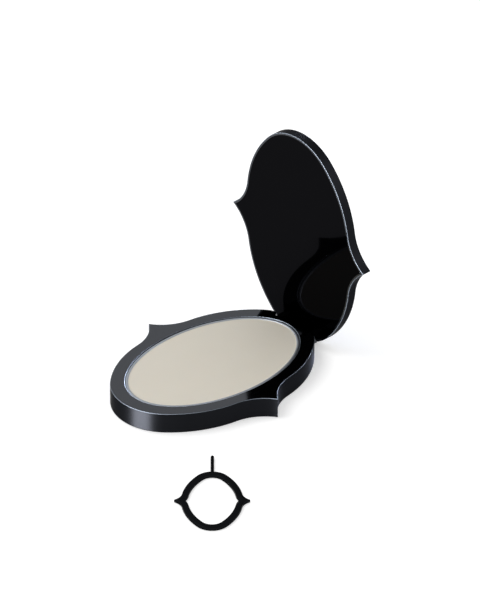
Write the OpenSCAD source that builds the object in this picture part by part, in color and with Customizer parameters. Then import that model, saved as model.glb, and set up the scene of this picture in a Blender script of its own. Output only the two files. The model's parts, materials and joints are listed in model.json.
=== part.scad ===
// Refillable pan compact: an ogee-shaped base and a lid on a pinned hinge, an oval
// refill pan that drops into the base, and a ring-handled tool that pushes the pan
// out through a hole in the floor.
// Frame: origin at the centre of the push-out hole on the underside, +Z up,
// +Y towards the hinge, X from cusp to cusp. The lid is drawn open, the pan seated.

/* [Case outline] */
// Wall between the recess and the furthest reach of the long sides' arcs
side_wall = 3.2; // [2:0.1:4]
// Reach of the cusps beyond those arcs
cusp_reach = 6.7; // [6:0.1:8]
// Radius of the round ends
case_end_r = 18.2; // [17.6:0.1:19]
// Angle that each end arc turns on either side of the middle
case_end_turn = 45; // [42:1:48]
// Radius of the hollows that lead out to the cusps
case_cusp_r = 16; // [14:0.1:18]

/* [Base] */
// Height of the base
base_h = 7; // [6.8:0.1:8]
// Thickness of the floor plate
floor_t = 0.8; // [0.6:0.1:1]
// Width of the frame's foot outside the floor plate
floor_border = 1.5; // [1:0.1:2]
// Depth that the case leaves above the pan's rim
rim_step = 0.15; // [0.1:0.05:0.4]
// Diameter of the push-out hole
push_hole_d = 3.6; // [3:0.1:5]
// Wall between the recess and the hinge notch
notch_wall = 0.6; // [0.5:0.05:0.8]

/* [Lid] */
// Thickness of the lid
lid_t = 3.3; // [3:0.1:4]
// Gap between the closed lid and the base's rim
lid_gap = 0.1; // [0.05:0.05:0.15]
// Angle at which the lid is drawn open
lid_open = 88.6; // [0:0.1:88.6]
// Thickness of the polished plate let into the lid's inner face
plate_t = 0.6; // [0.4:0.1:0.8]
// Width of the lid's rim outside the plate
plate_border = 0.7; // [0.5:0.1:1]

/* [Hinge] */
// Distance of the hinge axis behind the recess
hinge_back = 1.3; // [1.2:0.1:2]
// Distance of the hinge axis in front of the case's end
hinge_inset = 3.6; // [3.4:0.1:3.8]
// Diameter of the hinge pin
pin_d = 1; // [0.8:0.1:1.2]
// Length of the hinge pin
pin_len = 19.8; // [19:0.1:20]
// Width of the notch in the base
notch_w = 17.2; // [16.8:0.1:17.6]
// Width of each lid knuckle along the pin
knuckle_w = 2; // [1.6:0.1:2.2]
// Width of the lid's knuckles across the pin
knuckle_d = 3.8; // [3.2:0.1:4]

/* [Magnets] */
// Diameter of the closing magnets
magnet_d = 3; // [2.5:0.1:3.2]
// Distance between the two magnets of a pair
magnet_gap = 12; // [10:0.5:14]
// Height of the magnets in the base
base_magnet_h = 5; // [4:0.1:5.2]
// Height of the magnets in the lid
lid_magnet_h = 2; // [1:0.1:2.1]

/* [Pan] */
// Half width of the oval pan
pan_half_w = 20.4; // [19.6:0.1:20.6]
// Half length of the oval pan
pan_half_l = 32.5; // [31.9:0.1:32.5]
// Wall of the pan, seen as its rim
pan_wall = 0.9; // [0.4:0.1:1.2]
// Floor of the pan
pan_floor_t = 0.5; // [0.3:0.1:1]
// Depth of the cream below the pan's rim
fill_drop = 0.25; // [0.1:0.05:1]

/* [Push-out tool] */
// From the middle of the ring to the tip of a cusp
ring_half_w = 11.8; // [11:0.1:12.6]
// From the middle of the ring to a round end
ring_half_l = 15.9; // [15.4:0.1:16.6]
// Radius of the ring's round ends
ring_end_r = 5.9; // [5.4:0.1:6.4]
// Angle that each end arc turns on either side of the middle
ring_end_turn = 50; // [48:1:54]
// Radius of the ring's long sides
ring_side_r = 22; // [20:0.5:24]
// Radius of the hollows that lead out to the ring's cusps
ring_cusp_r = 4.4; // [4:0.1:5]
// Width of the ring's band
ring_band = 2.1; // [1.6:0.1:2.4]
// Thickness of the ring
ring_t = 1.2; // [1:0.1:2]
// Diameter of the tool's pin
tool_pin_d = 1.1; // [0.9:0.1:1.2]
// Length of the pin outside the ring
tool_pin_len = 9.5; // [7:0.5:14]
// Depth of the slot in the ring that holds the pin's root
pin_root = 1; // [0.5:0.1:1.2]
// Free space between the case and the tool as they are laid out
tool_gap = 8; // [4:1:20]
// Direction in which the tool is laid out, clockwise from the front
tool_turn = 47.5; // [40:0.5:55]

/* [Hidden] */
$fn = 96;
// Clearance of glued and pressed-in pieces
seat_gap = 0.05;
// Radial clearance of the turning hinge pin
run_gap = 0.05;
// Clearance round the pan in its recess
pan_gap = 0.2;
// Side clearance of the lid's knuckles
side_gap = 0.2;
// What keeps the open lid's end off the table
foot_gap = 0.05;
// Clearance behind the hinge, between the swinging lid and the base
swing_gap = 0.15;
// Spare length of a cutting shape past the face that it cuts
over = 1;

recess_half_w = pan_half_w + pan_gap;
recess_half_l = pan_half_l + pan_gap;
recess_z = floor_t + seat_gap;
hinge_y = recess_half_l + hinge_back;
hinge_z = hinge_inset + foot_gap;
side_w = recess_half_w + side_wall;
// Gives the side arcs the reach side_w, tangent to the end arcs
case_side_r = (side_w - case_end_r * sin(case_end_turn)) / (1 - sin(case_end_turn));
case_half_w = side_w + cusp_reach;
case_half_l = hinge_y + hinge_inset;
pan_z = floor_t + seat_gap;
pan_h = base_h - rim_step - pan_z;
lid_z = base_h + lid_gap;
// The base's own knuckle stands between the lid's two and clears the floor plate
lug_d = 2 * (hinge_z - recess_z);
lug_w = notch_w - 2 * knuckle_w - 4 * side_gap;
knuckle_x = notch_w / 2 - side_gap - knuckle_w / 2;
swing_r = lid_z - hinge_z - swing_gap;
base_magnet_z = floor_t + seat_gap;
lid_magnet_z = lid_z + plate_t + seat_gap;
magnet_x = magnet_gap / 2;
tool_away = case_half_l + tool_gap + tool_pin_len + ring_half_l;

// ---- Ogee outline -------------------------------------------------------
// A quarter of the outline is three arcs in line: the end arc about [0, cy],
// the side arc about side_c, tangent to it, and a hollow arc about hollow_c,
// tangent to the side arc and through the cusp's tip.
// An outline is the list [end_c, side_c, hollow_c, end_r, side_r, cusp_r, turn].
function ogee(half_w, half_l, end_r, turn, side_r, cusp_r) =
    let (end_c = [0, half_l - end_r],
         side_c = end_c - (side_r - end_r) * [sin(turn), cos(turn)],
         hollow_c = meeting(side_c, side_r + cusp_r, [half_w, 0], cusp_r))
    [end_c, side_c, hollow_c, end_r, side_r, cusp_r, turn];

// The point at distance ra from a and rb from b, on the left going from b to a
function meeting(a, ra, b, rb) =
    let (d = norm(a - b),
         u = (a - b) / d,
         along = (rb * rb - ra * ra + d * d) / (2 * d),
         aside = sqrt(rb * rb - along * along))
    b + along * u + aside * [u[1], -u[0]];

// Points on an arc about c from direction a0 to a1, turned clockwise from +Y
function arc(c, r, a0, a1, steps) =
    [for (i = [0:steps]) let (a = a0 + (a1 - a0) * i / steps) c + r * [sin(a), cos(a)]];

// Direction of v, turned clockwise from +Y
function heading(v) = atan2(v[0], v[1]);

function backwards(points) = [for (i = [len(points) - 1:-1:0]) points[i]];
function trimmed(points) = [for (i = [1:len(points) - 2]) points[i]];

// A quarter of an outline drawn inwards by inset, from its round end to its cusp
function quarter(o, inset) =
    let (to_hollow = heading(o[2] - o[1]),
         cusp_r = o[5] + inset,
         tip = [o[2][0] - sqrt(cusp_r * cusp_r - pow(o[2][1], 2)), 0])
    concat(arc(o[0], o[3] - inset, 0, o[6], 12),
           trimmed(arc(o[1], o[4] - inset, o[6], to_hollow, 11)),
           arc(o[2], cusp_r, to_hollow + 180, heading(tip - o[2]) + 360, 12));

module ogee_2d(o, inset = 0) {
    q = quarter(o, inset);
    half = concat(q, backwards([for (i = [0:len(q) - 2]) [q[i][0], -q[i][1]]]));
    polygon(concat(half, trimmed(backwards([for (p = half) [-p[0], p[1]]]))));
}

module oval_2d(half_w, half_l) {
    scale([half_w / half_l, 1]) circle(half_l);
}

module slab(z, h) {
    translate([0, 0, z]) linear_extrude(h) children();
}

case_outline = ogee(case_half_w, case_half_l, case_end_r, case_end_turn, case_side_r, case_cusp_r);
ring_outline = ogee(ring_half_w, ring_half_l, ring_end_r, ring_end_turn, ring_side_r, ring_cusp_r);
// The magnets sit midway across the front wall
magnet_y = -(recess_half_l * sqrt(1 - pow(magnet_x / recess_half_w, 2))
             + case_outline[0][1] + sqrt(pow(case_end_r, 2) - pow(magnet_x, 2))) / 2;

// ---- Shared shapes ------------------------------------------------------
// A round bar along the hinge axis
module hinge_bar(d, len) {
    translate([0, hinge_y, hinge_z]) rotate([0, 90, 0]) cylinder(d = d, h = len, center = true);
}

module magnet_pair(d, z, h) {
    for (side = [-1, 1]) translate([side * magnet_x, magnet_y, z]) cylinder(d = d, h = h);
}

// Turns what is drawn on the closed lid to the open lid's place
module opened() {
    translate([0, hinge_y, hinge_z]) rotate([-lid_open, 0, 0])
        translate([0, -hinge_y, -hinge_z]) children();
}

// Lays what is drawn about the ring's middle down in front of the case
module laid_out() {
    rotate([0, 0, tool_turn]) translate([0, -tool_away, 0]) children();
}

// ---- Base ---------------------------------------------------------------
// The notch for the lid's knuckles, which leaves the base's own knuckle standing
module hinge_notch() {
    difference() {
        translate([-notch_w / 2, 0, -over]) cube([notch_w, case_half_l + over, base_h + 2 * over]);
        slab(-2 * over, base_h + 4 * over)
            oval_2d(recess_half_w + notch_wall, recess_half_l + notch_wall);
        hinge_bar(lug_d, lug_w);
    }
}

// What the swinging lid clears behind the hinge axis
module swing_relief() {
    difference() {
        translate([-case_end_r, hinge_y, -over])
            cube([2 * case_end_r, case_half_l, base_h + 2 * over]);
        hinge_bar(2 * swing_r, 2 * case_end_r + over);
    }
}

module base_frame() {
    color([0.09, 0.09, 0.1]) difference() {
        slab(0, base_h) ogee_2d(case_outline);
        slab(-over, base_h + 2 * over) oval_2d(recess_half_w, recess_half_l);
        slab(-over, recess_z + over) ogee_2d(case_outline, floor_border);
        hinge_notch();
        swing_relief();
        hinge_bar(pin_d + 2 * seat_gap, 2 * case_end_r);
        magnet_pair(magnet_d + 2 * seat_gap, 0, base_magnet_z + base_magnet_h + seat_gap);
    }
}

module base_floor() {
    color([0.13, 0.13, 0.14]) difference() {
        slab(0, floor_t) ogee_2d(case_outline, floor_border + seat_gap);
        translate([0, 0, -over]) cylinder(d = push_hole_d, h = floor_t + 2 * over);
        translate([0, 0, -over]) swing_relief();
    }
}

module base_magnets() {
    color([0.6, 0.61, 0.63]) magnet_pair(magnet_d, base_magnet_z, base_magnet_h);
}

module hinge_pin() {
    color([0.55, 0.56, 0.58]) hinge_bar(pin_d, pin_len);
}

// ---- Lid ----------------------------------------------------------------
module lid_shell() {
    color([0.09, 0.09, 0.1]) opened() difference() {
        slab(lid_z, lid_t) ogee_2d(case_outline);
        slab(lid_z - over, plate_t + seat_gap + over) ogee_2d(case_outline, plate_border);
        magnet_pair(magnet_d + 2 * seat_gap, lid_z, plate_t + lid_magnet_h + 2 * seat_gap);
    }
}

module lid_plate() {
    color([0.05, 0.05, 0.06]) opened()
        slab(lid_z, plate_t) ogee_2d(case_outline, plate_border + seat_gap);
}

module lid_knuckles() {
    color([0.12, 0.12, 0.13]) opened() for (side = [-1, 1]) difference() {
        translate([side * knuckle_x, hinge_y, hinge_z]) union() {
            rotate([0, 90, 0]) cylinder(d = knuckle_d, h = knuckle_w, center = true);
            translate([-knuckle_w / 2, -knuckle_d / 2, 0])
                cube([knuckle_w, knuckle_d, lid_z - hinge_z]);
        }
        hinge_bar(pin_d + 2 * run_gap, notch_w);
    }
}

module lid_magnets() {
    color([0.6, 0.61, 0.63]) opened() magnet_pair(magnet_d, lid_magnet_z, lid_magnet_h);
}

// ---- Pan ----------------------------------------------------------------
module pan_tray() {
    color([0.72, 0.74, 0.77]) difference() {
        slab(pan_z, pan_h) oval_2d(pan_half_w, pan_half_l);
        slab(pan_z + pan_floor_t, pan_h) oval_2d(pan_half_w - pan_wall, pan_half_l - pan_wall);
    }
}

module pan_fill() {
    color([0.83, 0.8, 0.75])
        slab(pan_z + pan_floor_t, pan_h - pan_floor_t - fill_drop)
            oval_2d(pan_half_w - pan_wall, pan_half_l - pan_wall);
}

// ---- Push-out tool ------------------------------------------------------
// The root of the pin sits in a slot in the ring's end
module tool_ring() {
    color([0.07, 0.07, 0.08]) laid_out() difference() {
        slab(0, ring_t) difference() {
            ogee_2d(ring_outline);
            ogee_2d(ring_outline, ring_band);
        }
        translate([-tool_pin_d / 2, ring_half_l - pin_root, -over])
            cube([tool_pin_d, pin_root + over, ring_t + 2 * over]);
    }
}

module tool_pin() {
    color([0.07, 0.07, 0.08]) laid_out()
        translate([0, ring_half_l - pin_root, ring_t / 2]) rotate([-90, 0, 0])
            cylinder(d = tool_pin_d, h = pin_root + tool_pin_len);
}

base_frame();
base_floor();
base_magnets();
hinge_pin();
lid_shell();
lid_plate();
lid_knuckles();
lid_magnets();
pan_tray();
pan_fill();
tool_ring();
tool_pin();
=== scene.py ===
"""Refillable pan compact: black polished case and lid, oval metal pan of cream, ring-handled push-out tool.

Every piece is a surface worked out from a few sizes and from the boxes of the fixed frame.
Lengths are in metres and angles in radians. Up is +Z and the hinge lies towards +Y.
"""

import json
import math
from collections import namedtuple

import bmesh
import bpy
import numpy as np
from mathutils import Matrix, Vector


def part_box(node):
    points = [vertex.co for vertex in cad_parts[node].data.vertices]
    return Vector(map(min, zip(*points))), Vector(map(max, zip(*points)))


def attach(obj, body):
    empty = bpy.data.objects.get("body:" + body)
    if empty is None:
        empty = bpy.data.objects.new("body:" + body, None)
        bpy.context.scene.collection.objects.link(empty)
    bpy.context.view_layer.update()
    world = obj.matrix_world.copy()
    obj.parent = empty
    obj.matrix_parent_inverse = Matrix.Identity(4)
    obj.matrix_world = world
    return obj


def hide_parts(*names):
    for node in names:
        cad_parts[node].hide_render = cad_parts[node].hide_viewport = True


bl_info = {
    "name": "Refillable pan compact",
    "version": (1, 0, 0),
    "blender": (4, 5, 0),
    "location": "3D View > Sidebar > Compact",
    "description": "Builds the pieces and finishes of a hinged compact with a lift-out pan",
    "category": "Object",
}

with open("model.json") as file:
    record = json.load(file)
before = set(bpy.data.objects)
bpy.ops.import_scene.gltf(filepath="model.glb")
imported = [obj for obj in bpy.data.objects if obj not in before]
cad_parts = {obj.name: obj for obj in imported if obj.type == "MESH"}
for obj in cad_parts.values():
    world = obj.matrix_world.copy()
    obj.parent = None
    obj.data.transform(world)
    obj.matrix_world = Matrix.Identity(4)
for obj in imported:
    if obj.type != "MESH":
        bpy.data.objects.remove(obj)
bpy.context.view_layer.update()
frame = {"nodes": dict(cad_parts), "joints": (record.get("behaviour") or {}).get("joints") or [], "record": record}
HINGE = next(joint for joint in frame["joints"] if joint["name"] == "lid_hinge")

MM = 0.001

# Steps along an outline's arc, round a circle and round the pan's oval.
ARC_STEPS, CIRCLE_STEPS, OVAL_STEPS = 36, 72, 288

# Points along a rounded edge, round the tool pin's tip and along the cream's raised edge.
ROUND_STEPS, TIP_STEPS, CREEP_STEPS = 5, 10, 15

# Edges turned more than this are shaded crisp, and points closer than this are one.
SHARP_ANGLE, MERGE_DISTANCE = math.radians(35), 1e-7

# The weight at which the largest faces steer the shading.
LARGEST_FACES = 100


def linear(hex_colour):
    """An sRGB hex colour as linear red, green and blue."""
    channels = [int(hex_colour[i : i + 2], 16) / 255 for i in (1, 3, 5)]
    return tuple(c / 12.92 if c <= 0.04045 else ((c + 0.055) / 1.055) ** 2.4 for c in channels)


# ---- Sizes and colours ----------------------------------------------------


def length(name, description, default):
    """A length that a user may change."""
    return bpy.props.FloatProperty(
        name=name, description=description, default=default, min=0, precision=5, unit="LENGTH"
    )


def angle(name, description, default):
    """An angle that a user may change, given in degrees."""
    return bpy.props.FloatProperty(
        name=name, description=description, default=math.radians(default), subtype="ANGLE"
    )


def amount(name, description, default):
    """A plain number that a user may change."""
    return bpy.props.FloatProperty(name=name, description=description, default=default, min=0)


def colour(name, description, default):
    """A colour that a user may change, given as sRGB hex."""
    return bpy.props.FloatVectorProperty(
        name=name, description=description, default=linear(default), subtype="COLOR", min=0, max=1
    )


class CaseSizes(bpy.types.PropertyGroup):
    """Outline and edges that the base and the lid share."""

    end_radius: length("End radius", "Radius of the case's round ends", 18.2 * MM)
    end_turn: angle("End turn", "Angle that an end arc turns on either side of the middle", 45)
    hollow_radius: length("Hollow radius", "Radius of the hollows beside the cusps", 16 * MM)
    cusp_reach: length("Cusp reach", "Reach of the cusps beyond the long sides", 6.7 * MM)
    edge_round: length("Edge rounding", "Radius of the polished edges", 0.15 * MM)
    foot_round: length("Foot rounding", "Radius of the base's lower edge", 0.4 * MM)
    floor_border: length("Foot width", "Width of the frame's foot outside the floor plate", 1.5 * MM)
    seat_gap: length("Seat gap", "Gap round pieces that are let into others", 0.05 * MM)
    recess_gap: length("Recess gap", "Gap between the pan and its recess", 0.2 * MM)
    hole_round: length("Hole rounding", "Radius of the push-out hole's edges", 0.15 * MM)


class HingeSizes(bpy.types.PropertyGroup):
    """The hinge between the base and the lid."""

    notch_width: length("Notch width", "Width of the notch for the lid's knuckles", 17.2 * MM)
    notch_wall: length("Notch wall", "Wall between the recess and the notch", 0.6 * MM)
    notch_flare: length("Notch flare", "Chamfer on the notch's upper edges", 0.15 * MM)
    side_gap: length("Side gap", "Side clearance of the lid's knuckles", 0.2 * MM)
    swing_gap: length("Swing gap", "Clearance of the lid as it swings behind the hinge", 0.15 * MM)
    knuckle_width: length("Knuckle width", "Width of a lid knuckle along the pin", 2 * MM)
    knuckle_height: length("Knuckle height", "Width of a lid knuckle across the pin", 3.8 * MM)
    knuckle_round: length("Knuckle rounding", "Radius of the knuckles' edges", 0.2 * MM)
    hole_gap: length("Hole gap", "Gap round the pin where it shows in the base", 0.05 * MM)


class LidSizes(bpy.types.PropertyGroup):
    """The lid, which is drawn closed and then swung open."""

    thickness: length("Thickness", "Thickness of the lid", 3.3 * MM)
    closed_gap: length("Closed gap", "Gap between the closed lid and the base", 0.1 * MM)
    plate_thickness: length("Plate thickness", "Thickness of the polished inner plate", 0.6 * MM)
    plate_border: length("Plate border", "Width of the lid's rim outside the plate", 0.7 * MM)
    plate_round: length("Plate rounding", "Radius of the inner plate's edge", 0.08 * MM)
    back_round: length("Back rounding", "Radius of the lid's outer edge", 0.2 * MM)


class PanSizes(bpy.types.PropertyGroup):
    """The oval pan and its fill."""

    wall: length("Wall", "Wall of the pan, seen as its rim", 0.9 * MM)
    floor: length("Floor", "Thickness of the pan's floor", 0.5 * MM)
    rim_round: length("Rim rounding", "Radius of the rim's edges", 0.25 * MM)
    foot_round: length("Foot rounding", "Radius of the pan's lower edge", 0.5 * MM)
    fill_drop: length("Fill drop", "Depth of the fill below the rim", 0.25 * MM)
    fill_gap: length("Fill gap", "Gap between the fill and the wall", 0.01 * MM)
    creep: length("Creep", "Height that the fill creeps up the wall", 0.12 * MM)
    creep_reach: length("Creep reach", "Width of the fill's raised edge", 0.7 * MM)


class ToolSizes(bpy.types.PropertyGroup):
    """The push-out tool: a ring of the case's shape with a pin."""

    half_width: length("Half width", "From the ring's middle to a cusp", 11.8 * MM)
    half_length: length("Half length", "From the ring's middle to a round end", 15.9 * MM)
    end_radius: length("End radius", "Radius of the ring's round ends", 5.9 * MM)
    end_turn: angle("End turn", "Angle that an end arc turns on either side of the middle", 50)
    side_radius: length("Side radius", "Radius of the ring's long sides", 22 * MM)
    hollow_radius: length("Hollow radius", "Radius of the hollows beside the cusps", 4.4 * MM)
    band: length("Band", "Width of the ring's band", 2.1 * MM)
    thickness: length("Thickness", "Thickness of the ring", 1.2 * MM)
    edge_round: length("Edge rounding", "Radius of the band's edges", 0.2 * MM)
    pin_radius: length("Pin radius", "Radius of the pin", 0.55 * MM)
    pin_length: length("Pin length", "Length of the pin outside the ring", 9.5 * MM)
    pin_root: length("Pin root", "Depth of the pin's root in the ring", 1 * MM)
    fillet: length("Fillet", "Radius of the fillet where the pin meets the ring", 0.5 * MM)


class Finishes(bpy.types.PropertyGroup):
    """Colours of the finishes."""

    face_black: colour("Polished black", "Black chrome on the flat faces", "#494b4f")
    # The walls' darker tone of the same black chrome is painted shade; the turned lines are real.
    shaded_wall_black: colour("Turned black", "Black chrome on the turned walls", "#1b1c1f")
    # The edges' lighter tone of the same black chrome is a painted highlight.
    edge_highlight_black: colour("Worn edge", "Black chrome worn thin along the edges", "#4a4f56")
    plate_black: colour("Mirror black", "Black lacquer on the lid's inner plate", "#0d0d0f")
    floor_black: colour("Satin black", "Black chrome on the recess floor", "#3c3e42")
    pan_metal: colour("Pan metal", "Tinplate of the pan, along its rim", "#9a9fa6")
    # The wall's darker tone of the pan's tinplate is painted shade; the drawn lines are real.
    shaded_pan_wall: colour("Pan wall", "Tinplate of the pan, in the shade of its drawn wall", "#3a3f44")
    cream: colour("Cream", "The fill", "#d3cdc0")
    tool_black: colour("Tool black", "Black oxide of the tool", "#151618")
    pin_steel: colour("Pin steel", "Ground steel of the hinge pin", "#b4b6ba")
    magnet_nickel: colour("Magnet nickel", "Nickel plating of the magnets", "#c8c6c0")


class StageSizes(bpy.types.PropertyGroup):
    """Camera, lamps, sky and floor."""

    azimuth: angle("Azimuth", "Direction of the camera round the object", 47.47)
    elevation: angle("Elevation", "Height of the camera above the horizon", 31.76)
    lens: amount("Lens", "Focal length in millimetres", 400)
    frame_height: length("Frame height", "Height of the picture at the object", 192.4 * MM)
    aside: length("Aside", "Picture's middle to the right of the base's rim centre", 8.66 * MM)
    above: length("Above", "Picture's middle above the base's rim centre", 18.62 * MM)
    floor_half: length("Floor", "Half width of the floor", 3)
    floor_glow: amount("Floor glow", "Light that the floor adds to what it reflects where it is seen", 0.42)
    floor_drop: length("Floor drop", "Depth of the floor below the object", 0.02 * MM)
    key_strength: amount("Key", "Brightness of the key lamp's face", 2.2)
    front_strength: amount("Front", "Brightness of the front strip that only frame and lid see", 330)
    back_strength: amount("Back", "Brightness of the back strip that only frame and lid see", 350)
    pan_front: amount("Pan front", "Brightness of the front strip that only the pan sees", 125)
    pan_side: amount("Pan side", "Brightness of the side strip that only the pan sees", 42)
    sky_strength: amount("Sky", "Brightness of the sky as it lights the object", 0.73)
    zenith: amount("Zenith", "Brightness of the sky overhead where it is seen", 0.5)


def sizes(group):
    """The scene's values for one property group."""
    return getattr(bpy.context.scene.compact, group)


# ---- Outlines -------------------------------------------------------------

Ogee = namedtuple("Ogee", "end_centre side_centre hollow_centre end_r side_r hollow_r turn")


def headed(angles):
    """Unit vectors at angles turned clockwise from +Y: (sin a, cos a)."""
    return np.stack([np.sin(angles), np.cos(angles)], axis=-1)


def heading(vector):
    """The angle of a vector, turned clockwise from +Y."""
    return math.atan2(vector[0], vector[1])


def ogee(half_width, half_length, end_r, turn, side_r, hollow_r):
    """Centres and radii of a quarter outline.

    The end arc's centre lies on Y. The side arc is tangent to it after the turn.
    The hollow's centre is side_r + hollow_r from the side's and hollow_r from the cusp's tip.
    """
    end_centre = np.array([0, half_length - end_r])
    side_centre = end_centre - (side_r - end_r) * headed(turn)
    tip = np.array([half_width, 0])
    apart = np.linalg.norm(side_centre - tip)
    towards = (side_centre - tip) / apart
    along = (hollow_r**2 - (side_r + hollow_r) ** 2 + apart**2) / (2 * apart)
    aside = math.sqrt(hollow_r**2 - along**2)
    hollow_centre = tip + along * towards + aside * np.array([towards[1], -towards[0]])
    return Ogee(end_centre, side_centre, hollow_centre, end_r, side_r, hollow_r, turn)


def arc(centre, radius, start, end):
    """Points centre + radius (sin a, cos a) for angles a spread evenly from start to end."""
    return centre + radius * headed(np.linspace(start, end, ARC_STEPS + 1))


def ogee_loop(shape, inset):
    """The outline drawn inwards by inset, as a closed loop of points, counterclockwise.

    A quarter is the end arc, the side arc and the hollow, about unmoved centres with their
    radii changed by the inset. Mirroring it in X and in Y gives the rest.
    """
    to_hollow = heading(shape.hollow_centre - shape.side_centre)
    hollow_r = shape.hollow_r + inset
    tip_x = shape.hollow_centre[0] - math.sqrt(hollow_r**2 - shape.hollow_centre[1] ** 2)
    to_tip = heading(np.array([tip_x, 0]) - shape.hollow_centre)
    quarter = np.concatenate(
        [
            arc(shape.end_centre, shape.end_r - inset, 0, shape.turn)[:-1],
            arc(shape.side_centre, shape.side_r - inset, shape.turn, to_hollow)[:-1],
            arc(shape.hollow_centre, hollow_r, to_hollow + math.pi, to_tip + math.tau),
        ]
    )
    half = np.concatenate([quarter, quarter[-2::-1] * [1, -1]])
    return np.concatenate([half, half[-2:0:-1] * [-1, 1]])[::-1]


def oval_loop(directions, half_width, half_length):
    """Points of an oval in the directions of another loop's points.

    A unit vector u meets the oval at u / sqrt((ux / half_width)^2 + (uy / half_length)^2).
    """
    unit = directions / np.linalg.norm(directions, axis=1, keepdims=True)
    return unit / np.linalg.norm(unit / [half_width, half_length], axis=1, keepdims=True)


def even_circle(count):
    """Points of a unit circle, counterclockwise from +X."""
    turns = np.linspace(0, math.tau, count, endpoint=False)
    return np.stack([np.cos(turns), np.sin(turns)], axis=1)


def case_outline():
    """The outline of the base and the lid, from the base frame's box."""
    case = sizes("case")
    half_width, half_length = case_half_sizes()
    side_reach = half_width - case.cusp_reach
    sine = math.sin(case.end_turn)
    side_r = (side_reach - case.end_radius * sine) / (1 - sine)
    return ogee(
        half_width, half_length, case.end_radius, case.end_turn, side_r, case.hollow_radius
    )


def case_half_sizes():
    """Half width to a cusp and half length to a round end, from the base frame's box."""
    low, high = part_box("base_frame")
    return high.x, -low.y


def level(loop, height):
    """A flat loop lifted to a height."""
    return np.column_stack([loop, np.full(len(loop), height)])


def pole(loop, height):
    """A loop drawn together at one point, which closes a surface at its middle."""
    return level(np.tile(loop.mean(axis=0), (len(loop), 1)), height)


def quarter_round(radius):
    """Inset and drop along a rounded edge, from the face, at (radius, 0), to the wall, at (0, radius)."""
    turns = np.linspace(0, math.pi / 2, ROUND_STEPS)
    return radius * (1 - np.sin(turns)), radius * (1 - np.cos(turns))


def slab_stations(low, high, low_round, high_round):
    """Insets and heights up the outside of a slab with rounded edges."""
    low_inset, low_drop = quarter_round(low_round)
    high_inset, high_drop = quarter_round(high_round)
    insets = np.concatenate([low_inset, high_inset[::-1]])
    heights = np.concatenate([low + low_drop, high - high_drop[::-1]])
    return list(zip(insets, heights))


# ---- Meshes ---------------------------------------------------------------


def lofted(name, loops, closed=False, band_slots=None):
    """A piece whose quads join each loop of points to the next, all the way round.

    loops[i, j] is point j of loop i. A closed piece also joins the last loop to the first.
    The UV map runs along the loops in U and across them in V. band_slots gives each band's
    material slot.
    """
    loops = np.asarray(loops)
    if closed:
        loops = np.concatenate([loops, loops[:1]])
    bands, around = len(loops) - 1, loops.shape[1]
    i, j = np.mgrid[0:bands, 0:around]
    nearer, further = j, (j + 1) % around
    faces = np.stack(
        [i * around + nearer, i * around + further, (i + 1) * around + further, (i + 1) * around + nearer],
        axis=-1,
    ).reshape(-1, 4)
    mesh = bpy.data.meshes.new(name)
    mesh.from_pydata(loops.reshape(-1, 3), [], faces)
    corner_u = np.stack([j, j + 1, j + 1, j], axis=-1) / around
    corner_v = np.stack([i, i, i + 1, i + 1], axis=-1) / bands
    mesh.uv_layers.new(name="Along").uv.foreach_set(
        "vector", np.stack([corner_u, corner_v], axis=-1).ravel()
    )
    if band_slots is not None:
        mesh.polygons.foreach_set("material_index", np.repeat(band_slots, around))
    merged_outwards(mesh)
    piece = bpy.data.objects.new(name, mesh)
    bpy.context.scene.collection.objects.link(piece)
    return piece


def merged_outwards(mesh):
    """Merges points that coincide and turns every face outwards."""
    work = bmesh.new()
    work.from_mesh(mesh)
    bmesh.ops.remove_doubles(work, verts=work.verts, dist=MERGE_DISTANCE)
    bmesh.ops.recalc_face_normals(work, faces=work.faces)
    work.to_mesh(mesh)
    work.free()


def carved(piece, cutter):
    """The piece with the cutter's shape taken out of it; the cutter is used up."""
    cut = piece.modifiers.new("Cut", "BOOLEAN")
    cut.operation = "DIFFERENCE"
    cut.solver = "EXACT"
    cut.object = cutter
    graph = bpy.context.evaluated_depsgraph_get()
    mesh = bpy.data.meshes.new_from_object(piece.evaluated_get(graph))
    piece.modifiers.clear()
    piece.data = mesh
    bpy.data.objects.remove(cutter)
    return piece


def coat(piece, materials):
    """Gives a piece its material slots, unless it has them already."""
    if not piece.data.materials:
        for material in materials:
            piece.data.materials.append(material)


def finished(piece, body, materials, replaced=()):
    """Gives a piece its materials, smooth shading with crisp corners and its body, and hides the frame parts it
    replaces.
    """
    coat(piece, materials)
    piece.data.shade_smooth()
    piece.data.set_sharp_from_angle(angle=SHARP_ANGLE)
    shading = piece.modifiers.new("Flat faces stay flat", "WEIGHTED_NORMAL")
    shading.keep_sharp = True
    shading.weight = LARGEST_FACES
    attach(piece, body)
    if replaced:
        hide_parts(*replaced)
    return piece


def swung_open(loops):
    """Points of the closed lid turned about the hinge to where the open lid stands."""
    axis_point = np.array(HINGE["pos_m"])
    turn = Matrix.Rotation(-math.radians(HINGE["range_deg"][0]), 3, Vector(HINGE["axis"]))
    return (np.asarray(loops) - axis_point) @ np.array(turn).T + axis_point


def across_hinge(profile, half_width, rounding=0.0):
    """Loops of a bar along the hinge axis, closed at both ends.

    profile(inset) gives the section as (y, z) points drawn inwards by inset. The ends are
    rounded by drawing the section inwards as X nears them.
    """
    stations = slab_stations(-half_width, half_width, rounding, rounding)
    loops = [np.insert(profile(inset), 0, x, axis=1) for inset, x in stations]
    centre = loops[0][:, 1:].mean(axis=0)
    ends = [np.tile([x, *centre], (len(loops[0]), 1)) for x in (-half_width, half_width)]
    return np.array([ends[0], *loops, ends[1]])


# ---- Finishes -------------------------------------------------------------


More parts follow.
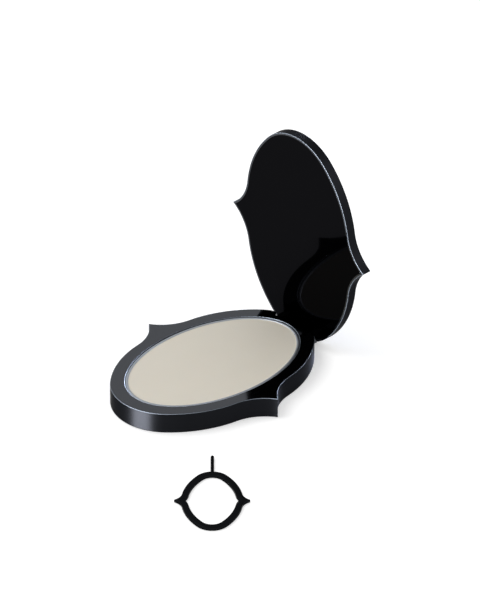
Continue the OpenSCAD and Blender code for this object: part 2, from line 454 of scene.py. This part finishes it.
def add(tree, kind, sockets=None, **settings):
    """Adds a shader node. sockets holds values, or outputs of other nodes to link from."""
    made = tree.nodes.new("ShaderNode" + kind)
    for name, value in settings.items():
        setattr(made, name, value)
    for name, value in (sockets or {}).items():
        if isinstance(value, bpy.types.NodeSocket):
            tree.links.new(value, made.inputs[name])
        else:
            made.inputs[name].default_value = value
    return made


def new_finish(name):
    """A new material and its empty node tree."""
    material = bpy.data.materials.new(name)
    material.use_nodes = True
    material.node_tree.nodes.clear()
    return material, material.node_tree


def rgba(tone, shade=1.0):
    """A colour with alpha, darkened or lightened by shade."""
    return (*[channel * shade for channel in tone], 1)


# A smudge's size, and the noise values at which it starts and is full.
SMUDGE_SIZE, SMUDGE_STARTS, SMUDGE_FULL = 9 * MM, 0.35, 0.65

# Depth of the lines on walls, and their length as a multiple of their spacing.
LINE_DEPTH, LINE_LENGTH = 0.003 * MM, 60

# Share by which reflections stretch, and the part of a full turn from along a line to across it.
STRETCH, ACROSS = 0.9, 0.25


def handled_metal(name, tone, roughness, smudge, glance=1.0, spacing=None):
    """Metal with handling smudges and, on walls, the fine lines left by turning or drawing.

    Smudges are soft patches that change the roughness by up to smudge. Lines are spacing apart
    in height as the object rests, and reflections stretch across the wall. glance is how much of
    a metal's usual gleam is left where it is seen at a glancing angle.
    """
    material, tree = new_finish(name)
    place = add(tree, "TexCoord").outputs["Object"]
    patches = add(
        tree,
        "TexNoise",
        {"Vector": place, "Scale": 1 / SMUDGE_SIZE, "Detail": 3, "Roughness": 0.55},
    )
    rough = add(
        tree,
        "MapRange",
        {
            "Value": patches.outputs["Fac"],
            "From Min": SMUDGE_STARTS,
            "From Max": SMUDGE_FULL,
            "To Min": roughness - smudge,
            "To Max": roughness + smudge,
        },
    )
    sockets = {
        "Base Color": rgba(tone),
        "Metallic": 1,
        "Roughness": rough.outputs["Result"],
        "Specular Tint": (glance, glance, glance, 1),
    }
    if spacing:
        length_scale = 1 / (LINE_LENGTH * spacing)
        stretched = add(
            tree, "Mapping", {"Vector": place, "Scale": (length_scale, length_scale, 1 / spacing)}
        )
        lines = add(tree, "TexNoise", {"Vector": stretched.outputs["Vector"], "Scale": 1, "Detail": 2})
        bump = add(
            tree, "Bump", {"Height": lines.outputs["Fac"], "Distance": LINE_DEPTH, "Strength": 1}
        )
        along = add(tree, "Tangent", direction_type="UV_MAP", uv_map="Along")
        sockets["Normal"] = bump.outputs["Normal"]
        sockets["Tangent"] = along.outputs["Tangent"]
        sockets["Anisotropic"] = STRETCH
        sockets["Anisotropic Rotation"] = ACROSS
    shader = add(tree, "BsdfPrincipled", sockets)
    add(tree, "OutputMaterial", {"Surface": shader.outputs["BSDF"]})
    return material


def black_chrome_face():
    """Black chrome, buffed: a dark mirror with the faintest haze, and no glare at low angles."""
    tone = sizes("finish").face_black
    return handled_metal("black_chrome_face", tone, roughness=0.07, smudge=0.015, glance=0.6)


def black_chrome_wall():
    """Black chrome over a turned wall, in a darker tone than the faces as painted shade: fine lines along it
    stretch reflections across it.

    Real turning lines are about 0.05 mm apart, too fine to show. They are drawn 0.12 mm apart
    and very shallow, so what shows is the stretch and not single lines.
    """
    return handled_metal(
        "black_chrome_wall",
        sizes("finish").shaded_wall_black,
        roughness=0.4,
        smudge=0.02,
        glance=0.5,
        spacing=0.12 * MM,
    )


def black_chrome_edge():
    """Black chrome, fine-scratched along an edge and lightened there as a painted highlight: it draws a soft grey
    line.
    """
    tone = sizes("finish").edge_highlight_black
    return handled_metal("black_chrome_edge", tone, roughness=0.6, smudge=0.02)


def mirror_black():
    """Black lacquer buffed to a deep mirror: very dark, with a clean reflection."""
    tone = sizes("finish").plate_black
    return handled_metal("mirror_black", tone, roughness=0.05, smudge=0.01, glance=0.54)


def satin_black():
    """Black chrome over a bead-blasted plate: reflections blur softly."""
    tone = sizes("finish").floor_black
    return handled_metal("satin_black", tone, roughness=0.17, smudge=0.02)


def tinplate_wall():
    """Tinplate drawn into a cup, darkened as painted shade, with fine level lines round the wall.

    Real drawing lines are about 0.05 mm apart, too fine to show. They are drawn 0.15 mm apart
    and very shallow, so what shows is stretched reflections and not single lines.
    """
    return handled_metal(
        "tinplate_wall",
        sizes("finish").shaded_pan_wall,
        roughness=0.4,
        smudge=0.02,
        glance=0.6,
        spacing=0.15 * MM,
    )


def tinplate_rim():
    """Tinplate scuffed along a rolled rim: pale and softly lit."""
    tone = sizes("finish").pan_metal
    return handled_metal("tinplate_rim", tone, roughness=0.5, smudge=0.03)


def black_oxide():
    """Black oxide on steel: near black with a low sheen."""
    tone = sizes("finish").tool_black
    return handled_metal("black_oxide", tone, roughness=0.28, smudge=0.04, glance=0.5)


def ground_steel():
    """Ground steel: bright, with a fine haze."""
    tone = sizes("finish").pin_steel
    return handled_metal("ground_steel", tone, roughness=0.25, smudge=0.04)


def nickel_plate():
    """Nickel plating: bright and slightly warm."""
    tone = sizes("finish").magnet_nickel
    return handled_metal("nickel_plate", tone, roughness=0.18, smudge=0.03)


# Sizes of the cream's clouds and grain, the grain's depth, and how far clouds change the colour.
CLOUD_SIZE, GRAIN_SIZE, GRAIN_DEPTH, CLOUD_SHADE = 7 * MM, 0.35 * MM, 0.01 * MM, 0.015

# The output that holds a mix node's colour.
COLOUR_RESULT = 2


def poured_cream():
    """Wax-based cream poured warm and set: soft, smooth and a little waxy, with faint clouding.

    Real grain is about 0.1 mm across, too fine to show. It is drawn 0.35 mm across and very
    shallow, so the cream still looks smooth.
    """
    material, tree = new_finish("poured_cream")
    tone = sizes("finish").cream
    place = add(tree, "TexCoord").outputs["Object"]
    clouds = add(tree, "TexNoise", {"Vector": place, "Scale": 1 / CLOUD_SIZE, "Detail": 4})
    grain = add(tree, "TexNoise", {"Vector": place, "Scale": 1 / GRAIN_SIZE, "Detail": 3})
    clouding = add(
        tree,
        "Mix",
        {
            "Factor": clouds.outputs["Fac"],
            "A": rgba(tone, 1 - CLOUD_SHADE),
            "B": rgba(tone, 1 + CLOUD_SHADE),
        },
        data_type="RGBA",
    )
    bump = add(
        tree,
        "Bump",
        {"Height": grain.outputs["Fac"], "Distance": GRAIN_DEPTH, "Strength": 0.5},
    )
    shader = add(
        tree,
        "BsdfPrincipled",
        {
            "Base Color": clouding.outputs[COLOUR_RESULT],
            "Roughness": 0.5,
            "IOR": 1.45,
            "Subsurface Weight": 0.15,
            "Subsurface Radius": (0.6, 0.4, 0.25),
            "Subsurface Scale": 1 * MM,
            "Normal": bump.outputs["Normal"],
        },
    )
    add(tree, "OutputMaterial", {"Surface": shader.outputs["BSDF"]})
    return material


# ---- Stage ----------------------------------------------------------------


# Places of the lamps in metres, widths and heights of their faces, and their tints.
KEY_PLACE, KEY_FACE = (-0.5, -0.35, 0.9), (0.8, 0.8)
FRONT_PLACE, SIDE_PLACE, BACK_PLACE = (-0.03, -0.95, 0.1), (0.53, 0.79, 0.1), (-0.33, 0.93, 0.12)
STRIP_FACE = (0.58, 0.16)
WHITE, BLUISH = (1, 1, 1), (0.72, 0.8, 1)

# Width of the camera's sensor in millimetres, and how far its clipping reaches either way.
SENSOR_WIDTH, CLIP_RATIO = 36, 10

# Height above the horizon at which the sky starts to grey, and the share of light the floor returns.
GREY_FROM, PAPER = math.radians(35), 0.8


class StepOperator(bpy.types.Operator):
    """What the operators share."""

    bl_options = {"REGISTER", "UNDO"}


class COMPACT_OT_stage(StepOperator):
    """Sets up the camera, the lamps, the sky and the floor"""

    bl_idname = "compact.stage"
    bl_label = "Stage"

    def execute(self, context):
        stage = sizes("stage")
        scene = context.scene
        scene.view_settings.view_transform = "Standard"
        self.camera(scene, stage)
        lamp("Key", KEY_PLACE, KEY_FACE, WHITE, stage.key_strength)
        self.sky(scene, stage)
        self.floor(stage)
        return {"FINISHED"}

    def camera(self, scene, stage):
        """Looks at the object from azimuth and elevation, with its rim's centre off the middle."""
        data = bpy.data.cameras.new("Camera")
        data.lens = stage.lens
        data.sensor_width = SENSOR_WIDTH
        turn, rise = stage.azimuth, stage.elevation
        right = Vector((math.cos(turn), math.sin(turn), 0))
        up = Vector((-math.sin(turn) * math.sin(rise), math.cos(turn) * math.sin(rise), math.cos(rise)))
        back = right.cross(up)
        rim_centre = Vector((0, 0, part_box("base_frame")[1].z))
        target = rim_centre + stage.aside * right + stage.above * up
        distance = stage.frame_height * data.lens / data.sensor_width
        camera = bpy.data.objects.new("Camera", data)
        place = Matrix((right, up, back)).transposed().to_4x4()
        camera.matrix_world = Matrix.Translation(target + distance * back) @ place
        data.clip_start, data.clip_end = distance / CLIP_RATIO, distance * CLIP_RATIO
        scene.collection.objects.link(camera)
        scene.camera = camera

    def seen_directly(self, tree):
        """One for camera, glossy and transmission rays, and nought for the rest."""
        path = add(tree, "LightPath")
        first = add(
            tree,
            "Math",
            {0: path.outputs["Is Camera Ray"], 1: path.outputs["Is Glossy Ray"]},
            operation="MAXIMUM",
        )
        both = add(
            tree,
            "Math",
            {0: first.outputs[0], 1: path.outputs["Is Transmission Ray"]},
            operation="MAXIMUM",
        )
        return both.outputs[0]

    def sky(self, scene, stage):
        """White where it is seen, but for the grey overhead, and a little darker as a light."""
        world = bpy.data.worlds.new("Sky")
        world.use_nodes = True
        tree = world.node_tree
        tree.nodes.clear()
        direction = add(tree, "SeparateXYZ", {"Vector": add(tree, "TexCoord").outputs["Generated"]})
        overhead = add(
            tree,
            "MapRange",
            {
                "Value": direction.outputs["Z"],
                "From Min": math.sin(GREY_FROM),
                "From Max": 1,
                "To Min": 1,
                "To Max": stage.zenith,
            },
            interpolation_type="SMOOTHSTEP",
        )
        strength = add(
            tree,
            "MapRange",
            {
                "Value": self.seen_directly(tree),
                "To Min": stage.sky_strength,
                "To Max": overhead.outputs["Result"],
            },
        )
        sky = add(tree, "Background", {"Color": rgba(WHITE), "Strength": strength.outputs["Result"]})
        add(tree, "OutputWorld", {"Surface": sky.outputs["Background"]})
        scene.world = world

    def floor(self, stage):
        """A pale floor that keeps the object's shadow, white where it is seen and clear from below."""
        corners = level(stage.floor_half * np.array([(-1, -1), (1, -1), (1, 1), (-1, 1)]), -stage.floor_drop)
        mesh = bpy.data.meshes.new("Floor")
        mesh.from_pydata(corners, [], [(0, 1, 2, 3)])
        material, tree = new_finish("white_paper")
        paper = add(tree, "BsdfDiffuse", {"Color": rgba(WHITE, PAPER)})
        glow = add(
            tree,
            "Math",
            {0: self.seen_directly(tree), 1: stage.floor_glow},
            operation="MULTIPLY",
        )
        light = add(tree, "Emission", {"Strength": glow.outputs[0]})
        both = add(tree, "AddShader", {0: paper.outputs[0], 1: light.outputs[0]})
        from_below = add(tree, "NewGeometry").outputs["Backfacing"]
        clear = add(tree, "BsdfTransparent").outputs[0]
        side = add(tree, "MixShader", {0: from_below, 1: both.outputs[0], 2: clear})
        add(tree, "OutputMaterial", {"Surface": side.outputs[0]})
        mesh.materials.append(material)
        floor = bpy.data.objects.new("Floor", mesh)
        bpy.context.scene.collection.objects.link(floor)


class COMPACT_OT_strips(StepOperator):
    """Adds strip lamps that draw bright bands down metal walls. Each lights only the pieces it names"""

    bl_idname = "compact.strips"
    bl_label = "Strip lamps"

    def execute(self, context):
        stage = sizes("stage")
        case, pan = ["base_frame_polished", "lid_shell_polished"], ["pan_tray_drawn"]
        for name, place, tint, strength, lit in (
            ("Front", FRONT_PLACE, WHITE, stage.front_strength, case),
            ("Back", BACK_PLACE, BLUISH, stage.back_strength, case),
            ("Pan front", FRONT_PLACE, WHITE, stage.pan_front, pan),
            ("Pan side", SIDE_PLACE, BLUISH, stage.pan_side, pan),
        ):
            receivers = bpy.data.collections.new(name)
            for piece in lit:
                receivers.objects.link(bpy.data.objects[piece])
            strip = lamp(name, place, STRIP_FACE, tint, strength)
            strip.light_linking.receiver_collection = receivers
        return {"FINISHED"}


def lamp(name, place, face, tint, strength):
    """An area lamp that faces the object, with its width and height and its face's brightness.

    A lamp's power is pi times its area times the brightness of its face.
    """
    data = bpy.data.lights.new(name, "AREA")
    data.shape = "RECTANGLE"
    data.size, data.size_y = face
    data.color = tint
    data.energy = strength * math.pi * data.size * data.size_y
    made = bpy.data.objects.new(name, data)
    made.location = place
    made.rotation_euler = Vector(place).to_track_quat("Z", "Y").to_euler()
    bpy.context.scene.collection.objects.link(made)
    return made


# ---- Pieces ---------------------------------------------------------------


class COMPACT_OT_base_frame(StepOperator):
    """Builds the base's frame: wall, polished rim, recess and the notch for the hinge"""

    bl_idname = "compact.base_frame"
    bl_label = "Base frame"

    def execute(self, context):
        case, hinge = sizes("case"), sizes("hinge")
        shape = case_outline()
        outer = ogee_loop(shape, 0)
        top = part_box("base_frame")[1].z
        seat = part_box("base_floor")[1].z + case.seat_gap
        pan_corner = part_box("pan_tray")[1]
        half_w, half_l = pan_corner.x + case.recess_gap, pan_corner.y + case.recess_gap
        inset, drop = quarter_round(case.edge_round)
        outside = slab_stations(0, top, case.foot_round, case.edge_round)
        loops = [level(ogee_loop(shape, case.floor_border), height) for height in (seat, 0)]
        loops += [level(ogee_loop(shape, away), height) for away, height in outside]
        loops += [
            level(oval_loop(outer, half_w + away, half_l + away), top - down)
            for away, down in zip(inset, drop)
        ]
        loops.append(level(oval_loop(outer, half_w, half_l), seat))
        wall, face, edge = 0, 1, 2
        rounds = ROUND_STEPS - 1
        # Bands run down inside the foot, up the outside, over the rim, down the recess and back.
        slots = [wall, wall] + [wall] * rounds + [wall] + [edge] * rounds
        slots += [face] + [edge] * rounds + [wall] + [face]
        piece = lofted("base_frame_polished", loops, closed=True, band_slots=slots)
        finishes = [black_chrome_wall(), black_chrome_face(), black_chrome_edge()]
        coat(piece, finishes)
        carved(piece, self.notch(top, half_w, half_l, hinge))
        carved(piece, swing_cutter(top, shape))
        carved(piece, self.pin_hole(hinge))
        finished(piece, "base", finishes, ["base_frame"])
        return {"FINISHED"}

    def notch(self, top, half_w, half_l, hinge):
        """The notch behind the recess, flared at the rim, round the base's own knuckle.

        Its section is level: straight sides along Y, and an oval front that keeps a wall
        behind the recess.
        """
        _, case_end = case_half_sizes()
        half = hinge.notch_width / 2

        def section(grow):
            x = np.linspace(-half - grow, half + grow, CIRCLE_STEPS)
            wide, long = half_w + hinge.notch_wall - grow, half_l + hinge.notch_wall - grow
            front = np.column_stack([x, long * np.sqrt(1 - (x / wide) ** 2)])
            back = np.column_stack([x[::-1], np.full(len(x), case_end + top)])
            return np.concatenate([front, back])

        flare = hinge.notch_flare
        stations = [(0, -top), (0, top - flare), (flare, top), (flare, 2 * top)]
        loops = [level(section(grow), height) for grow, height in stations]
        loops = [pole(loops[0][:, :2], -top), *loops, pole(loops[-1][:, :2], 2 * top)]
        cutter = lofted("notch", loops)
        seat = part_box("base_floor")[1].z + sizes("case").seat_gap
        lug_r = HINGE["pos_m"][2] - seat
        lug_half = half - hinge.knuckle_width - 2 * hinge.side_gap
        lug = across_hinge(hinge_circle(lug_r), lug_half)
        return carved(cutter, lofted("lug", lug))

    def pin_hole(self, hinge):
        """The hole through the frame for the hinge pin."""
        low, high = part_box("hinge_pin")
        radius = (high.z - low.z) / 2 + hinge.hole_gap
        return lofted("pin_hole", across_hinge(hinge_circle(radius), 2 * high.x))


def hinge_circle(radius):
    """A round section about the hinge axis, as a function of its inset."""
    _, y, z = HINGE["pos_m"]
    unit = even_circle(CIRCLE_STEPS)
    return lambda inset: unit * (radius - inset) + [y, z]


def swing_cutter(top, shape):
    """All that the lid sweeps behind the hinge axis: a block with a round hollow about the axis."""
    _, y, z = HINGE["pos_m"]
    lid = sizes("lid")
    radius = top + lid.closed_gap - z - sizes("hinge").swing_gap
    hollow = [y, z] + radius * headed(np.linspace(0, math.pi, CIRCLE_STEPS))
    over = shape.end_r
    block = [[y, z - over], [y + over, z - over], [y + over, z + over], [y, z + over]]
    section = np.concatenate([hollow, block])
    return lofted("swing", across_hinge(lambda inset: section, over))


class COMPACT_OT_base_floor(StepOperator):
    """Builds the floor plate with its push-out hole"""

    bl_idname = "compact.base_floor"
    bl_label = "Base floor"

    def execute(self, context):
        case = sizes("case")
        shape = case_outline()
        low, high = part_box("base_floor")
        border = case.floor_border + case.seat_gap
        mounts = frame["record"]["mounts"]
        hole = next(mount for mount in mounts if mount["name"] == "push_out_hole")
        hole_r = hole["dims"]["r_mm"] * MM
        outer = ogee_loop(shape, border)
        inset, drop = quarter_round(case.hole_round)
        hole_stations = [(hole_r + away, high.z - down) for away, down in zip(inset, drop)]
        hole_stations += [(hole_r + away, low.z + down) for away, down in zip(inset[::-1], drop[::-1])]
        loops = [level(outer, low.z), level(outer, high.z)]
        loops += [level(oval_loop(outer, r, r), height) for r, height in hole_stations]
        piece = lofted("base_floor_plate", loops, closed=True)
        carved(piece, swing_cutter(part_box("base_frame")[1].z, shape))
        finished(piece, "base", [satin_black()], ["base_floor"])
        return {"FINISHED"}


class COMPACT_OT_lid_shell(StepOperator):
    """Builds the lid's shell, with the recess that takes the inner plate"""

    bl_idname = "compact.lid_shell"
    bl_label = "Lid shell"

    def execute(self, context):
        case, lid = sizes("case"), sizes("lid")
        shape = case_outline()
        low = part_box("base_frame")[1].z + lid.closed_gap
        high = low + lid.thickness
        seat = low + lid.plate_thickness + case.seat_gap
        centre = ogee_loop(shape, 0)
        rim = ogee_loop(shape, lid.plate_border)
        loops = [pole(centre, seat), level(rim, seat), level(rim, low)]
        outside = slab_stations(low, high, case.edge_round, lid.back_round)
        loops += [level(ogee_loop(shape, away), height) for away, height in outside]
        loops.append(pole(centre, high))
        face, wall, edge = 0, 1, 2
        rounds = ROUND_STEPS - 1
        # Bands run out of the plate's recess, over the rim, up the outside and across the top.
        slots = [face, wall, face] + [edge] * rounds + [wall] + [wall] * rounds + [face]
        piece = lofted("lid_shell_polished", swung_open(loops), band_slots=slots)
        finishes = [black_chrome_face(), black_chrome_wall(), black_chrome_edge()]
        finished(piece, "lid", finishes, ["lid_shell"])
        return {"FINISHED"}


class COMPACT_OT_lid_plate(StepOperator):
    """Builds the mirror-polished plate in the lid's inner face"""

    bl_idname = "compact.lid_plate"
    bl_label = "Lid plate"

    def execute(self, context):
        case, lid = sizes("case"), sizes("lid")
        shape = case_outline()
        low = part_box("base_frame")[1].z + lid.closed_gap
        high = low + lid.plate_thickness
        border = lid.plate_border + case.seat_gap
        centre = ogee_loop(shape, 0)
        outside = slab_stations(low, high, lid.plate_round, lid.plate_round)
        loops = [level(ogee_loop(shape, border + away), height) for away, height in outside]
        loops = [pole(centre, low), *loops, pole(centre, high)]
        piece = lofted("lid_plate_mirror", swung_open(loops))
        finished(piece, "lid", [mirror_black()], ["lid_plate"])
        return {"FINISHED"}


class COMPACT_OT_knuckles(StepOperator):
    """Builds the lid's two hinge knuckles"""

    bl_idname = "compact.knuckles"
    bl_label = "Lid knuckles"

    def execute(self, context):
        hinge = sizes("hinge")
        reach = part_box("base_frame")[1].z + sizes("lid").closed_gap
        middle = hinge.notch_width / 2 - hinge.side_gap - hinge.knuckle_width / 2
        bar = across_hinge(self.section(reach, hinge), hinge.knuckle_width / 2, hinge.knuckle_round)
        finish = black_chrome_face()
        for side, shift in (("left", -middle), ("right", middle)):
            piece = lofted(f"lid_knuckle_{side}", swung_open(bar + [shift, 0, 0]))
            # One of the two pieces stands in for the node that holds both.
            replaced = ["lid_knuckles"] if side == "left" else []
            finished(piece, "lid", [finish], replaced)
        return {"FINISHED"}

    def section(self, reach, hinge):
        """A half circle about the axis, with straight sides up to the lid."""
        _, y, z = HINGE["pos_m"]
        lower = headed(np.linspace(math.pi / 2, 3 * math.pi / 2, ARC_STEPS))

        def drawn_in(inset):
            radius = hinge.knuckle_height / 2 - inset
            arm = [[y - radius, reach], [y + radius, reach]]
            return np.concatenate([[y, z] + radius * lower, arm])

        return drawn_in


class COMPACT_OT_pan_tray(StepOperator):
    """Builds the oval pan with its rounded rim"""

    bl_idname = "compact.pan_tray"
    bl_label = "Pan tray"

    def execute(self, context):
        pan = sizes("pan")
        low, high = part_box("pan_tray")
        turns = even_circle(OVAL_STEPS)
        floor = low.z + pan.floor
        inset, drop = quarter_round(pan.rim_round)
        stations = slab_stations(low.z, high.z, pan.foot_round, pan.rim_round)
        stations += [(pan.wall - away, high.z - down) for away, down in zip(inset, drop)]
        stations.append((pan.wall, floor))
        loops = [level(turns * [high.x - away, high.y - away], height) for away, height in stations]
        loops = [pole(turns, low.z), *loops, pole(turns, floor)]
        wall, rim = 0, 1
        rounds = ROUND_STEPS - 1
        # Bands run across the bottom, up the outside, over the rim, down the inside and in to the middle.
        slots = [rim] + [wall] * rounds + [wall] + [rim] * (2 * rounds + 1) + [wall, wall]
        piece = lofted("pan_tray_drawn", loops, band_slots=slots)
        finished(piece, "pan", [tinplate_wall(), tinplate_rim()], ["pan_tray"])
        return {"FINISHED"}


class COMPACT_OT_pan_fill(StepOperator):
    """Builds the cream, which creeps up the pan's wall a little"""

    bl_idname = "compact.pan_fill"
    bl_label = "Pan fill"

    def execute(self, context):
        pan = sizes("pan")
        low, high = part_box("pan_tray")
        floor = low.z + pan.floor
        top = high.z - pan.fill_drop
        turns = even_circle(OVAL_STEPS)
        share = np.linspace(0, 1, CREEP_STEPS)
        rise = pan.creep * (1 - share) ** 2
        stations = [(0, floor)]
        stations += list(zip(share * pan.creep_reach, top + rise))
        half = np.array([high.x, high.y]) - pan.wall - pan.fill_gap
        loops = [level(turns * (half - away), height) for away, height in stations]
        loops = [pole(turns, floor), *loops, pole(turns, top)]
        piece = lofted("pan_fill_cream", loops)
        finished(piece, "pan", [poured_cream()], ["pan_fill"])
        return {"FINISHED"}


def laid_out(points):
    """Points about the ring's middle, moved to where the tool lies, with its pin towards the case."""
    low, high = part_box("tool_ring")
    middle = (low + high) / 2
    towards = np.array([-middle.x, -middle.y]) / math.hypot(middle.x, middle.y)
    points = np.asarray(points)
    along, aside = towards, np.array([towards[1], -towards[0]])
    flat = points[..., :1] * aside + points[..., 1:2] * along + [middle.x, middle.y]
    return np.concatenate([flat, points[..., 2:]], axis=-1)


class COMPACT_OT_tool_ring(StepOperator):
    """Builds the tool's ring, a rounded band of the case's shape"""

    bl_idname = "compact.tool_ring"
    bl_label = "Tool ring"

    def execute(self, context):
        tool = sizes("tool")
        shape = ogee(
            tool.half_width,
            tool.half_length,
            tool.end_radius,
            tool.end_turn,
            tool.side_radius,
            tool.hollow_radius,
        )
        outside = slab_stations(0, tool.thickness, tool.edge_round, tool.edge_round)
        inside = [(tool.band - away, height) for away, height in reversed(outside)]
        loops = [level(ogee_loop(shape, away), height) for away, height in outside + inside]
        piece = lofted("tool_ring_band", laid_out(loops), closed=True)
        finished(piece, "tool", [black_oxide()], ["tool_ring"])
        return {"FINISHED"}


class COMPACT_OT_tool_pin(StepOperator):
    """Builds the tool's pin, with a rounded tip and a fillet at its root"""

    bl_idname = "compact.tool_pin"
    bl_label = "Tool pin"

    def execute(self, context):
        tool = sizes("tool")
        tip = tool.half_length + tool.pin_length
        root = tool.half_length - tool.pin_root
        turns = np.linspace(0, math.pi / 2, TIP_STEPS)
        sine, cosine = np.sin(turns), np.cos(turns)
        full, none = np.ones(len(turns)), np.zeros(len(turns))
        fillet = [tool.fillet * (1 - sine), full, tool.half_length + tool.fillet * (1 - cosine)]
        rounded_tip = [none, cosine, tip - tool.pin_radius * (1 - sine)]
        stations = [(0, 0, root), (tool.fillet, 1, root), *zip(*fillet), *zip(*rounded_tip)]
        circle = even_circle(CIRCLE_STEPS)
        loops = [
            np.column_stack(
                [
                    (share * tool.pin_radius + wider) * circle[:, 0],
                    np.full(len(circle), y),
                    tool.thickness / 2 + share * tool.pin_radius * circle[:, 1],
                ]
            )
            for wider, share, y in stations
        ]
        piece = lofted("tool_pin_round", laid_out(loops))
        finished(piece, "tool", [black_oxide()], ["tool_pin"])
        return {"FINISHED"}


class COMPACT_OT_small_parts(StepOperator):
    """Finishes the hinge pin and the closing magnets, which keep their frame shapes"""

    bl_idname = "compact.small_parts"
    bl_label = "Hinge pin and magnets"

    def execute(self, context):
        steel, nickel = ground_steel(), nickel_plate()
        for node, material in (
            ("hinge_pin", steel),
            ("base_magnets", nickel),
            ("lid_magnets", nickel),
        ):
            mesh = frame["nodes"][node].data
            mesh.materials.clear()
            mesh.materials.append(material)
        return {"FINISHED"}


OPERATORS = (
    COMPACT_OT_stage,
    COMPACT_OT_base_frame,
    COMPACT_OT_base_floor,
    COMPACT_OT_lid_shell,
    COMPACT_OT_lid_plate,
    COMPACT_OT_knuckles,
    COMPACT_OT_pan_tray,
    COMPACT_OT_pan_fill,
    COMPACT_OT_tool_ring,
    COMPACT_OT_tool_pin,
    COMPACT_OT_small_parts,
    COMPACT_OT_strips,
)


class CompactSettings(bpy.types.PropertyGroup):
    """All sizes and colours of the compact."""

    case: bpy.props.PointerProperty(type=CaseSizes, name="Case")
    hinge: bpy.props.PointerProperty(type=HingeSizes, name="Hinge")
    lid: bpy.props.PointerProperty(type=LidSizes, name="Lid")
    pan: bpy.props.PointerProperty(type=PanSizes, name="Pan")
    tool: bpy.props.PointerProperty(type=ToolSizes, name="Tool")
    finish: bpy.props.PointerProperty(type=Finishes, name="Finishes")
    stage: bpy.props.PointerProperty(type=StageSizes, name="Stage")


SETTINGS = (CaseSizes, HingeSizes, LidSizes, PanSizes, ToolSizes, Finishes, StageSizes, CompactSettings)


class COMPACT_PT_panel(bpy.types.Panel):
    """Lists the compact's pieces, sizes and colours"""

    bl_label = "Compact"
    bl_space_type = "VIEW_3D"
    bl_region_type = "UI"
    bl_category = "Compact"

    def draw(self, context):
        for operator in OPERATORS:
            self.layout.operator(operator.bl_idname)
        settings = context.scene.compact
        for name in CompactSettings.__annotations__:
            box = self.layout.box()
            box.label(text=name.capitalize())
            group = getattr(settings, name)
            for size in type(group).__annotations__:
                box.prop(group, size)


CLASSES = (*SETTINGS, *OPERATORS, COMPACT_PT_panel)


def register():
    for cls in CLASSES:
        bpy.utils.register_class(cls)
    bpy.types.Scene.compact = bpy.props.PointerProperty(type=CompactSettings)


def unregister():
    del bpy.types.Scene.compact
    for cls in reversed(CLASSES):
        bpy.utils.unregister_class(cls)


def main():
    """Builds the stage and every piece."""
    register()
    for operator in OPERATORS:
        getattr(bpy.ops.compact, operator.bl_idname.split(".")[1])()


if __name__ == "__main__":
    main()
